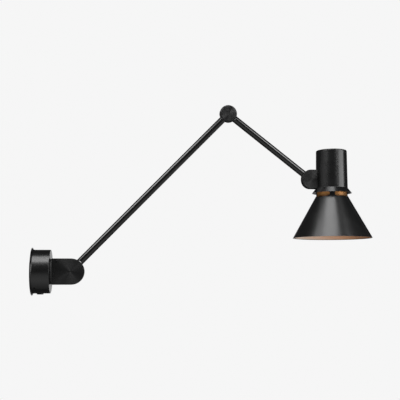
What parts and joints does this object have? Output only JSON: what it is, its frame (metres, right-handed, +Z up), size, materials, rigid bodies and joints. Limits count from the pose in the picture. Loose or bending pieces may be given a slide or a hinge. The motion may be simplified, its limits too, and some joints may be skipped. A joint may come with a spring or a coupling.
{
  "type": "articulating wall lamp",
  "caption": "Wall lamp with a drum mount, a two-tube arm on friction fork joints and a conical shade with a slotted neck and copper-coloured lining.",
  "frame": {"origin": "middle of the wall plate's back face, between its two fixing slots", "axes": "+X points away from the wall, +Z is up, and the arm lies in the XZ plane with its joint pins along Y"},
  "size_m": [0.6396, 0.1506, 0.3613],
  "materials": {
    "black_paint": "satin",
    "black_aluminium": "satin",
    "black_nylon": "matte",
    "black_plastic": "satin",
    "black_screw": "satin",
    "copper": "satin",
    "zinc_steel": "satin",
    "brass": "satin",
    "white_plastic": "satin"
  },
  "bodies": {
    "mount": {"wall_plate": "zinc_steel", "mount_cover": "black_paint", "cover_grub_screws": "black_screw", "terminal_block": "white_plastic", "terminal_screws": "brass", "block_screw": "zinc_steel", "switch_body": "black_plastic", "swivel_ring": "black_nylon", "stop_pin": "zinc_steel"},
    "button": {"switch_button": "black_plastic"},
    "swivel": {"swivel_stem": "zinc_steel", "stop_washer": "zinc_steel", "spring_washer": "zinc_steel", "stem_nut": "zinc_steel", "wall_fork": "black_aluminium", "fork_grub_screw": "black_screw", "cheek_pin": "black_screw", "shoulder_bolt": "black_screw", "shoulder_washers": "black_nylon"},
    "lower_arm": {"shoulder_tongue": "black_paint", "lower_arm_tube": "black_paint", "elbow_fork": "black_aluminium", "elbow_bolt": "black_screw", "elbow_washers": "black_nylon"},
    "upper_arm": {"elbow_tongue": "black_paint", "upper_arm_tube": "black_paint", "head_tongue": "black_paint"},
    "head": {"head_fork": "black_aluminium", "head_bolt": "black_screw", "head_washers": "black_nylon", "head_cover": "black_aluminium", "shade": "black_aluminium", "reflector": "copper", "lampholder": "black_plastic", "socket_shell": "brass", "centre_contact": "brass", "shade_ring": "black_plastic", "holder_bracket": "zinc_steel", "holder_nipple": "zinc_steel", "holder_nuts": "zinc_steel", "head_fork_screws": "zinc_steel"}
  },
  "joints": [
    {"name": "switch_press", "type": "slide", "parent": "mount", "child": "button", "axis": [0, 0, 1], "range_m": [0, 0.0012], "stiffness_N_per_m": 500, "springref_m": -0.002},
    {"name": "wall_swivel", "type": "hinge", "parent": "mount", "child": "swivel", "pos_m": [0.0366, 0, 0], "axis": [1, 0, 0], "range_deg": [-165, 165]},
    {"name": "shoulder_pivot", "type": "hinge", "parent": "swivel", "child": "lower_arm", "pos_m": [0.06935, 0, 0], "axis": [0, -1, 0], "range_deg": [-135, 44]},
    {"name": "elbow_pivot", "type": "hinge", "parent": "lower_arm", "child": "upper_arm", "pos_m": [0.3638, 0, 0.3009], "axis": [0, -1, 0], "range_deg": [-36, 83.5]},
    {"name": "head_pivot", "type": "hinge", "parent": "upper_arm", "child": "head", "pos_m": [0.52311, 0, 0.17621], "axis": [0, -1, 0], "range_deg": [-95, 38]}
  ]
}
